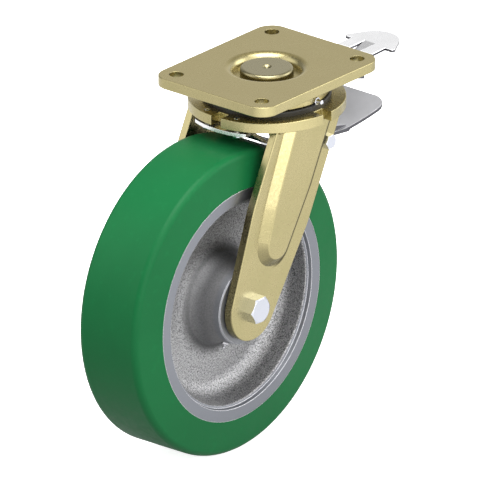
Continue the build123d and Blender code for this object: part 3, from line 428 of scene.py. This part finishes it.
def zinc(name, base, shade, edge_colour, smooth, radius, scratch=0.5, facing=None, painted_panel_shade=False):
    """Plated steel: cloudy plating, faint scratches, brighter edges that are partly wear and partly a painted
    highlight and, if given, a painted shade tone on faces whose slope lies between two limits, such as cut
    sides, and painted shade round a leg's raised panel."""
    made = Finish(name)
    tree = made.tree
    edges = made.edges(radius)
    clouds = made.clouds(34.0)
    scratches = made.scratches(scratch)
    plated = made.mix(clouds["Broad"], rgb(base), rgb(shade))
    speckled = made.mix(times(tree, clouds["Fine"], 0.06), plated, rgb(edge_colour))
    # Lighter edges: partly wear, partly a painted highlight
    worn_and_highlit = times(tree, edges["Edge"], ramp(tree, clouds["Fine"], 0.3, 0.6, 0.35, 0.8))
    colour_socket = made.mix(worn_and_highlit, speckled, rgb(edge_colour))
    roughness = plus(tree, ramp(tree, clouds["Fine"], 0.25, 0.75, smooth - 0.04, smooth + 0.07),
                     times(tree, clouds["Broad"], 0.04))
    normal = made.bump(clouds["Fine"], 0.00004, 0.05, edges["Normal"])
    normal = made.bump(scratches, 0.00003, 0.3, normal)
    # Painted shade: another tone on faces whose slope lies between the limits
    if facing:
        low, high, tone = facing
        upright = arithmetic(tree, "ABSOLUTE", split(tree, made.own_normal)["Z"])
        colour_socket = made.mix(ramp(tree, upright, low, high), colour_socket, rgb(tone))
    # Painted shade round a leg's raised panel
    if painted_panel_shade:
        painted_shade_mask = made.group("Painted panel shade", {"Vector": made.place, "Normal": made.own_normal})["Shade"]
        colour_socket = made.mix(painted_shade_mask, colour_socket, rgb(base, 0.2))
    return made.close(colour_socket, roughness, normal)


def turned_pin(name, base, edge_colour):
    """The king pin's turned head: rings round the swivel axis, and painted shade for its centre hole."""
    made = Finish(name)
    tree = made.tree
    edges = made.edges(0.0006)
    parts = split(tree, made.place)
    marks = made.group("Turning marks", {"Across": parts["X"], "Up": parts["Y"], "Pitch": 0.00045})
    clouds = made.clouds(60.0)
    colour_socket = made.mix(times(tree, marks["Height"], 0.5), rgb(base), rgb(edge_colour))
    # Painted shade: a dark disc for the centre hole
    centre = ramp(tree, marks["Radius"], 0.0036, 0.0026, 0.0, 0.7)
    colour_socket = made.mix(centre, colour_socket, rgb(base, 0.3))
    roughness = ramp(tree, clouds["Fine"], 0.2, 0.8, 0.22, 0.34)
    return made.close(colour_socket, roughness, made.bump(marks["Height"], 0.00003, 0.4, edges["Normal"]))


def plain_finish(name, base, shade, scale, radius, roughness, bump, metallic=1.0):
    """A finish with clouds alone: a shade of the base, a range of roughness and a bump's depth and strength."""
    made = Finish(name)
    edges = made.edges(radius)
    clouds = made.clouds(scale)
    colour_socket = made.mix(clouds["Broad"], rgb(base), rgb(base, shade))
    rough = ramp(made.tree, clouds["Fine"], 0.2, 0.8, *roughness)
    return made.close(colour_socket, rough, made.bump(clouds["Fine"], *bump, edges["Normal"]), metallic)


def tread_rubber(name, base, shade):
    """Cast polyurethane: smooth, a little cloudy, with the mould's faint lathe marks."""
    made = Finish(name, 0.1)
    tree = made.tree
    edges = made.edges(0.0012)
    clouds = made.clouds(9.0)
    marks = made.wheel_marks(0.0007)
    colour_socket = made.mix(clouds["Broad"], rgb(base), rgb(shade))
    colour_socket = made.mix(ramp(tree, clouds["Fine"], 0.55, 0.75, 0.0, 0.25), colour_socket, rgb(base, 1.25))
    roughness = plus(tree, ramp(tree, clouds["Fine"], 0.3, 0.7, 0.3, 0.38), times(tree, clouds["Broad"], 0.05))
    normal = made.bump(marks["Height"], 0.00002, 0.25, edges["Normal"])
    normal = made.bump(clouds["Fine"], 0.00006, 0.25, normal)
    return made.close(colour_socket, roughness, normal, 0.0)


def wheel_casting(name, rim, casting, dark):
    """The wheel's casting: turned at the rim's face and the hub's end, smooth round the hub, and rough and
    sparkling on the web and the dish's wall."""
    made = Finish(name)
    tree = made.tree
    edges = made.edges(0.0008)
    marks = made.wheel_marks(0.0006)
    grain = made.group("Cast grain", {"Vector": made.place, "Scale": 1900.0})
    clouds = made.clouds(26.0)
    radius = marks["Radius"]

    # Where the casting is turned, where its web is rough, and the ring of painted shade at the hub's foot
    machined = larger(tree, ramp(tree, radius, *RIM_TURNED), times(tree, ramp(tree, radius, *HUB_TURNED), 0.6))
    cast = minus(tree, 1.0, machined)
    web = ramp(tree, radius, *WEB_ROUGH, 0.15, 1.0)
    foot = times(tree, ramp(tree, radius, *HUB_FOOT_PAINTED_SHADE_RISE), ramp(tree, radius, *HUB_FOOT_PAINTED_SHADE_FALL))

    # The rough metal with painted shade on the dish's wall and bright at the grain's tips, the smooth metal
    # darker on the hub's side, and pale on edges, partly wear and partly a painted highlight
    rough_metal = made.mix(ramp(tree, grain["Height"], 0.64, 0.98), rgb(dark), rgb(casting))
    rough_metal = made.mix(ramp(tree, radius, *DISH_WALL_PAINTED_SHADE, 0.0, 0.35), rough_metal, (0.03, 0.03, 0.031, 1.0))
    rough_metal = made.mix(times(tree, grain["Tips"], 0.95), rough_metal, (0.95, 0.95, 0.96, 1.0))
    smooth_metal = made.mix(clouds["Fine"], rgb(casting, 0.42), rgb(casting, 0.62))
    smooth_metal = made.mix(ramp(tree, radius, *HUB_SIDE, 0.0, 0.55), smooth_metal, rgb(casting, 0.12))
    colour_socket = made.mix(web, smooth_metal, rough_metal)
    # Painted shade at the hub's foot
    colour_socket = made.mix(times(tree, foot, 0.4), colour_socket, (0.05, 0.05, 0.05, 1.0))
    colour_socket = made.mix(machined, colour_socket, rgb(rim))
    # Pale edges: partly wear, partly a painted highlight
    colour_socket = made.mix(ramp(tree, edges["Edge"], 0.3, 0.9), colour_socket, (0.9, 0.9, 0.93, 1.0))

    roughness = plus(tree, ramp(tree, clouds["Fine"], 0.2, 0.8, 0.34, 0.44),
                     times(tree, minus(tree, 1.0, web), 0.15))
    roughness = plus(tree, roughness, times(tree, machined, 0.02))
    depth = times(tree, times(tree, grain["Height"], web), cast)
    normal = made.bump(depth, 0.0005, 0.8, edges["Normal"])
    normal = made.bump(times(tree, marks["Height"], machined), 0.00003, 0.2, normal)
    return made.close(colour_socket, roughness, normal, 0.95)


def paint(names, material):
    """Gives CAD nodes a material in every slot."""
    for name in names:
        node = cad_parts[name]
        if not node.material_slots:
            node.data.materials.append(material)
        for slot in node.material_slots:
            slot.material = material


# Helpers for new pieces

def start_clean():
    if bpy.context.object and bpy.context.object.mode != "OBJECT":
        bpy.ops.object.mode_set(mode="OBJECT")
    bpy.ops.object.select_all(action="DESELECT")


def finish_piece(name, material, body):
    """Applies the piece's place, points its faces outwards and lets it ride."""
    piece = bpy.context.object
    piece.name = name
    piece.data.name = name
    bpy.ops.object.transform_apply(location=True, rotation=True, scale=True)
    bpy.ops.object.mode_set(mode="EDIT")
    bpy.ops.mesh.select_all(action="SELECT")
    bpy.ops.mesh.remove_doubles(threshold=0.000001)
    bpy.ops.mesh.normals_make_consistent(inside=False)
    bpy.ops.object.mode_set(mode="OBJECT")
    bpy.ops.object.shade_smooth_by_angle(angle=math.radians(50))
    piece.data.materials.clear()
    piece.data.materials.append(material)
    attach(piece, body)


def weld_bead(name, points, material):
    """A rippled bead along a line of points: a ring extruded on and on, swelling at each ripple."""
    sizes = bpy.context.scene.castor_sizes
    start_clean()
    first, second = Vector(points[0]), Vector(points[1])
    facing = (second - first).to_track_quat("Z", "Y").to_euler()
    bpy.ops.mesh.primitive_circle_add(
        vertices=10, radius=sizes.weld_radius * BEAD_WAIST, fill_type="NGON", location=first, rotation=facing
    )
    bpy.ops.object.mode_set(mode="EDIT")
    bpy.ops.mesh.select_all(action="SELECT")
    swollen = False
    for start, end in zip(points, points[1:]):
        start, end = Vector(start), Vector(end)
        steps = max(2, int((end - start).length / (sizes.weld_pitch / 2)))
        step = (end - start) / steps
        for count in range(steps):
            bpy.ops.mesh.extrude_region_move(TRANSFORM_OT_translate={"value": step})
            growth = 1 / RIPPLE_SWELL if swollen else RIPPLE_SWELL
            if count or start == first:
                bpy.ops.transform.resize(value=(growth, growth, growth))
                swollen = not swollen
    bpy.ops.object.mode_set(mode="OBJECT")
    finish_piece(name, material, "fork")


def thread(name, centre, radius, pitch, low, high, material, body):
    """A bolt end's thread: a three-sided ridge wound up along Y by the Screw modifier."""
    start_clean()
    bpy.ops.mesh.primitive_circle_add(
        vertices=3, radius=pitch * RIDGE_SIZE, fill_type="NOTHING", location=(radius, 0, 0)
    )
    bpy.ops.object.transform_apply(location=True, rotation=True, scale=True)
    ridge = bpy.context.object
    turns = (high - low) / pitch
    screw = ridge.modifiers.new("Thread", "SCREW")
    screw.axis = "Y"
    screw.angle = 2 * math.pi * turns
    screw.screw_offset = high - low
    screw.steps = int(STEPS_PER_TURN * turns)
    screw.render_steps = screw.steps
    bpy.ops.object.modifier_apply(modifier=screw.name)
    bpy.ops.object.mode_set(mode="EDIT")
    bpy.ops.mesh.select_all(action="SELECT")
    bpy.ops.mesh.fill_holes(sides=4)
    bpy.ops.transform.translate(value=(centre[0], low, centre[1]))
    bpy.ops.object.mode_set(mode="OBJECT")
    finish_piece(name, material, body)


# Operators

class CastorGroups(bpy.types.Operator):
    """Builds the shared effects: soft edges, clouds, scratches, turning marks, cast grain and painted panel
    shade
    """
    bl_idname = "castor.effects"
    bl_label = "Shared effects"

    def execute(self, context):
        for build in (edge_group, cloud_group, scratch_group, turned_group, cast_group, panel_group):
            build()
        return {"FINISHED"}


class CastorPlateAndFork(bpy.types.Operator):
    """Yellow chromated plate, crown, legs and bearing cover, the turned king pin and the black seal"""
    bl_idname = "castor.plate_and_fork"
    bl_label = "Plate and fork finish"

    def execute(self, context):
        colours = context.scene.castor_colours
        edge = [min(1.0, c * WEAR_AND_HIGHLIGHT_YELLOW) for c in colours.plate]
        edge_radius = context.scene.castor_sizes.edge_radius
        yellow = {"base": colours.plate, "shade": colours.plate_shade, "edge_colour": edge, "smooth": 0.26,
                  "radius": edge_radius}
        paint(["bearing_cover", "fork_crown"], zinc("Yellow zinc", **yellow))
        # The legs get painted shade round their raised panels
        paint(["fork_leg_right", "fork_leg_left"], zinc("Yellow zinc, legs", **yellow, painted_panel_shade=True))
        # Painted shade: a deeper tone on the plate's level faces
        painted_level_shade = (0.8, 0.95, colours.plate_top_painted_shade)
        paint(["top_plate"], zinc("Yellow zinc, plate", **yellow, facing=painted_level_shade))
        paint(["king_pin"], turned_pin("Turned pin", colours.pin, edge))
        paint(["dust_seal"], plain_finish(
            "Black rubber", colours.seal, shade=1.8, scale=120.0, radius=0.0005, roughness=(0.34, 0.5),
            bump=(0.00004, 0.3), metallic=0.0,
        ))
        return {"FINISHED"}


class CastorFasteners(bpy.types.Operator):
    """Bright zinc on the bolts, nuts, washers, screws and grease nipples"""
    bl_idname = "castor.fasteners"
    bl_label = "Fastener finish"

    def execute(self, context):
        bright = context.scene.castor_colours.bright
        shade = [c * 0.95 for c in bright]
        plated = zinc("Bright zinc", bright, shade, WEAR_AND_HIGHLIGHT_BRIGHT, smooth=0.1, radius=0.0003, scratch=0.1)
        paint([
            "king_pin_nut", "king_pin_washer", "split_pin", "swivel_grease_nipple", "leaf_screws",
            "axle_bolt", "axle_washer", "axle_nut", "brake_pivot_bolt", "brake_pivot_washer", "brake_pivot_nut",
            "release_pin",
        ], plated)
        return {"FINISHED"}


class CastorPedals(bpy.types.Operator):
    """Pale zinc on the pedals, the brake leaf and the release pedal's bracket"""
    bl_idname = "castor.pedals"
    bl_label = "Pedal finish"

    def execute(self, context):
        colours = context.scene.castor_colours
        # The dark tone on the pedals' cut sides is painted shade
        cut_side_painted_shade = (0.75, 0.55, (0.1, 0.1, 0.11))
        pedal, release = colours.pedal, colours.release
        pedal_shade = [c * 0.93 for c in pedal]
        release_shade, leaf_shade = [c * 0.95 for c in release], [c * 0.9 for c in release]
        paint(["brake_pedal"], zinc(
            "Pedal zinc", pedal, pedal_shade, WEAR_AND_HIGHLIGHT_PALE, smooth=0.32, radius=0.0005, scratch=0.08,
            facing=cut_side_painted_shade,
        ))
        paint(["release_pedal"], zinc(
            "Release zinc", release, release_shade, WEAR_AND_HIGHLIGHT_PALE, smooth=0.2, radius=0.0004, scratch=0.15,
            facing=cut_side_painted_shade,
        ))
        paint(["brake_leaf", "release_bracket"], zinc(
            "Leaf zinc", release, leaf_shade, WEAR_AND_HIGHLIGHT_PALE, smooth=0.25, radius=0.0004
        ))
        return {"FINISHED"}


class CastorWheel(bpy.types.Operator):
    """Green tread and the rough and turned faces of the cast wheel"""
    bl_idname = "castor.wheel"
    bl_label = "Wheel finish"

    def execute(self, context):
        colours = context.scene.castor_colours
        paint(["tread"], tread_rubber("Green tread", colours.tread, colours.tread_shade))
        paint(["wheel_rim"], wheel_casting("Cast wheel", colours.rim, colours.casting, colours.casting_dark))
        return {"FINISHED"}


class CastorBearings(bpy.types.Operator):
    """Ground steel on the bearings, spacers and axle tube"""
    bl_idname = "castor.bearings"
    bl_label = "Bearing finish"

    def execute(self, context):
        ground = plain_finish(
            "Ground steel", context.scene.castor_colours.steel, shade=0.82, scale=90.0, radius=0.0003,
            roughness=(0.18, 0.3), bump=(0.00001, 0.3),
        )
        paint([
            "thrust_race_upper", "thrust_race_lower", "thrust_balls", "thrust_cage", "taper_cup", "taper_cone",
            "taper_rollers", "taper_cage", "axle_tube", "inner_spacer", "outer_spacers", "bearing_inner_left",
            "bearing_inner_right", "bearing_outer_left", "bearing_outer_right", "bearing_balls_left",
            "bearing_balls_right", "bearing_shields", "circlips", "hub_grease_nipple",
        ], ground)
        return {"FINISHED"}


class CastorWelds(bpy.types.Operator):
    """Weld beads that join the fork legs to the crown"""
    bl_idname = "castor.welds"
    bl_label = "Weld beads"

    def execute(self, context):
        material = plain_finish(
            "Weld metal", context.scene.castor_colours.plate, shade=0.6, scale=240.0, radius=0.0004,
            roughness=(0.32, 0.5), bump=(0.00012, 0.5),
        )
        off = context.scene.castor_sizes.weld_radius * BEAD_STAND_OFF
        foot = CROWN_FOOT - off
        for side, label in ((-1, "right"), (1, "left")):
            inside = side * (LEG_INSIDE - off)
            face, crest = side * (LEG_OUTSIDE + off), side * (PANEL_CREST + off)
            weld_bead("weld_inner_" + label, [(x, inside, foot) for x in INNER_WELD], material)
            outer = (
                (OUTER_WELD[0], face), (PANEL_FOOT_RUN[0], face), (PANEL_CREST_RUN[0], crest),
                (PANEL_CREST_RUN[1], crest), (PANEL_FOOT_RUN[1], face), (OUTER_WELD[1], face),
            )
            weld_bead("weld_outer_" + label, [(x, y, foot) for x, y in outer], material)
        return {"FINISHED"}


class CastorThreads(bpy.types.Operator):
    """Threads on the open ends of the axle bolt and the brake pivot bolt"""
    bl_idname = "castor.threads"
    bl_label = "Bolt threads"

    def execute(self, context):
        sizes = context.scene.castor_sizes
        bright = context.scene.castor_colours.bright
        base, shade = [c * 0.8 for c in bright], [c * 0.6 for c in bright]
        material = zinc("Thread zinc", base, shade, WEAR_AND_HIGHLIGHT_BRIGHT, smooth=0.25, radius=0.0001, scratch=0.2)
        axle_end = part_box("axle_bolt")[1][1]
        thread("axle_thread", (AXLE.x, AXLE.z), AXLE_THREAD_RADIUS, sizes.axle_pitch,
               AXLE_THREAD_START, axle_end - AXLE_TIP, material, "fork")
        pivot_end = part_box("brake_pivot_bolt")[1][1]
        thread("pivot_thread", BRAKE_PIVOT, PIVOT_THREAD_RADIUS, sizes.pivot_pitch,
               PIVOT_THREAD_START, pivot_end - PIVOT_TIP, material, "fork")
        return {"FINISHED"}


def area_light(name, direction, distance, size, watts):
    """A soft light that faces the castor from a direction."""
    start_clean()
    location = Vector(direction).normalized() * distance + Vector(MIDDLE)
    turn = (Vector(MIDDLE) - location).to_track_quat("-Z", "Y").to_euler()
    bpy.ops.object.light_add(type="AREA", location=location, rotation=turn)
    light = bpy.context.object
    light.name = name
    light.data.shape = "RECTANGLE"
    light.data.size, light.data.size_y = size
    light.data.energy = watts


class CastorStage(bpy.types.Operator):
    """Pale floor, soft studio light and the camera"""
    bl_idname = "castor.stage"
    bl_label = "Studio"

    def execute(self, context):
        start_clean()
        bpy.ops.mesh.primitive_plane_add(size=80.0, location=(0, 0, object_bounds()[0][2]))
        floor = context.object
        floor.name = "floor"
        bpy.ops.object.transform_apply(location=True, rotation=True, scale=True)
        floor.data.materials.append(self.floor_material(context.scene.castor_colours.floor))
        floor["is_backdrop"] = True
        self.world(context.scene)
        area_light("front_box", (-0.36, -0.93, 0.1), distance=2.6, size=(0.45, 0.6), watts=3.5)
        area_light("top_box", (-0.15, -0.1, 1.0), distance=3.2, size=(2.6, 2.6), watts=120.0)
        context.scene.view_settings.view_transform = "Standard"
        self.camera(context, context.scene.castor_sizes)
        return {"FINISHED"}

    def floor_material(self, base):
        """White to the eye; what the metal mirrors has a painted shadow under the castor and is lightest in
        front of it, and the floor glows, lighting the castor.
        """
        material = bpy.data.materials.new("Pale floor")
        material.use_nodes = True
        tree = material.node_tree
        shader = tree.nodes["Principled BSDF"]
        shader.inputs["Roughness"].default_value = 0.9
        shader.inputs["Specular IOR Level"].default_value = 0.0
        spot = tree.nodes.new("ShaderNodeTexCoord").outputs["Object"]
        away = add(tree, "ShaderNodeVectorMath", {0: spot}, operation="LENGTH").outputs["Value"]
        slope = curve(tree, ramp(tree, dot(tree, spot, FLOOR_LIGHTER), -1.0, 1.0, kind="LINEAR"), SIDE_LEVELS)

        # Painted shadow behind the castor, but not far off
        behind = arithmetic(tree, "DIVIDE", dot(tree, spot, FLOOR_PAINTED_SHADOW_SIDE), away)
        painted_shadow_behind = larger(tree, ramp(tree, behind, 0.55, 0.85, 1.0, 0.15), ramp(tree, away, 0.62, 0.85))
        mirrored = times(tree, curve(tree, away, FLOOR_LEVELS), times(tree, slope, painted_shadow_behind))

        # The eye sees the floor's own colour, metal what it mirrors, and dull surfaces a darker floor, a
        # painted dimming of its light; the floor glows too, twice as strongly to the eye
        path = tree.nodes.new("ShaderNodeLightPath").outputs
        to_eye = path["Is Camera Ray"]
        dark = blend(tree, 0.72, mirrored, (0.0, 0.0, 0.0, 1.0))
        unseen = blend(tree, path["Is Diffuse Ray"], mirrored, dark)
        tree.links.new(blend(tree, to_eye, unseen, rgb(base)), shader.inputs["Base Color"])
        tree.links.new(blend(tree, to_eye, mirrored, rgb(base)), shader.inputs["Emission Color"])
        tree.links.new(ramp(tree, to_eye, 0.0, 1.0, 0.45, 0.9), shader.inputs["Emission Strength"])
        return material

    def world(self, scene):
        world = bpy.data.worlds.new("Studio")
        world.use_nodes = True
        scene.world = world
        tree = world.node_tree
        back = tree.nodes["Background"]
        direction = tree.nodes.new("ShaderNodeTexCoord").outputs["Generated"]
        slope = ramp(tree, dot(tree, direction, SKY_LIGHTER), -0.7, 0.2, 0.26, 1.0)
        level = times(tree, curve(tree, split(tree, direction)["Z"], SKY_LEVELS), slope)
        for towards, start, full, strength in GLOWS:
            level = plus(tree, level, ramp(tree, dot(tree, direction, towards), start, full, 0.0, strength))
        tree.links.new(level, back.inputs["Strength"])
        back.inputs["Color"].default_value = (1.0, 1.0, 1.0, 1.0)

    def camera(self, context, sizes):
        start_clean()
        back, right = Vector(CAMERA_BACK).normalized(), Vector(CAMERA_RIGHT).normalized()
        up = back.cross(right)
        aim = right * PICTURE_MIDDLE[0] + up * PICTURE_MIDDLE[1]
        bpy.ops.object.camera_add(location=aim + back * sizes.camera_distance)
        camera = context.object
        camera.rotation_euler = Matrix((right, up, back)).transposed().to_euler()
        camera.data.type = "ORTHO"
        camera.data.ortho_scale = sizes.view_width
        camera.data.clip_end = 100.0
        context.scene.camera = camera


OPERATORS = (
    CastorGroups, CastorPlateAndFork, CastorFasteners, CastorPedals, CastorWheel, CastorBearings, CastorWelds,
    CastorThreads, CastorStage,
)


class CastorPanel(bpy.types.Panel):
    """Sizes, colours and steps of the castor"""
    bl_idname = "VIEW3D_PT_castor"
    bl_label = "Swivel castor"
    bl_space_type = "VIEW_3D"
    bl_region_type = "UI"
    bl_category = "Castor"

    def draw(self, context):
        for group in (context.scene.castor_colours, context.scene.castor_sizes):
            for name in group.__annotations__:
                self.layout.prop(group, name)
        for operator in OPERATORS:
            self.layout.operator(operator.bl_idname)


CLASSES = (CastorColours, CastorSizes, *OPERATORS, CastorPanel)


def register():
    for one in CLASSES:
        bpy.utils.register_class(one)
    bpy.types.Scene.castor_colours = bpy.props.PointerProperty(type=CastorColours)
    bpy.types.Scene.castor_sizes = bpy.props.PointerProperty(type=CastorSizes)


def unregister():
    del bpy.types.Scene.castor_sizes
    del bpy.types.Scene.castor_colours
    for one in reversed(CLASSES):
        bpy.utils.unregister_class(one)


def main():
    register()
    for operator in OPERATORS:
        group, name = operator.bl_idname.split(".")
        getattr(getattr(bpy.ops, group), name)()


if __name__ == "__main__":
    main()
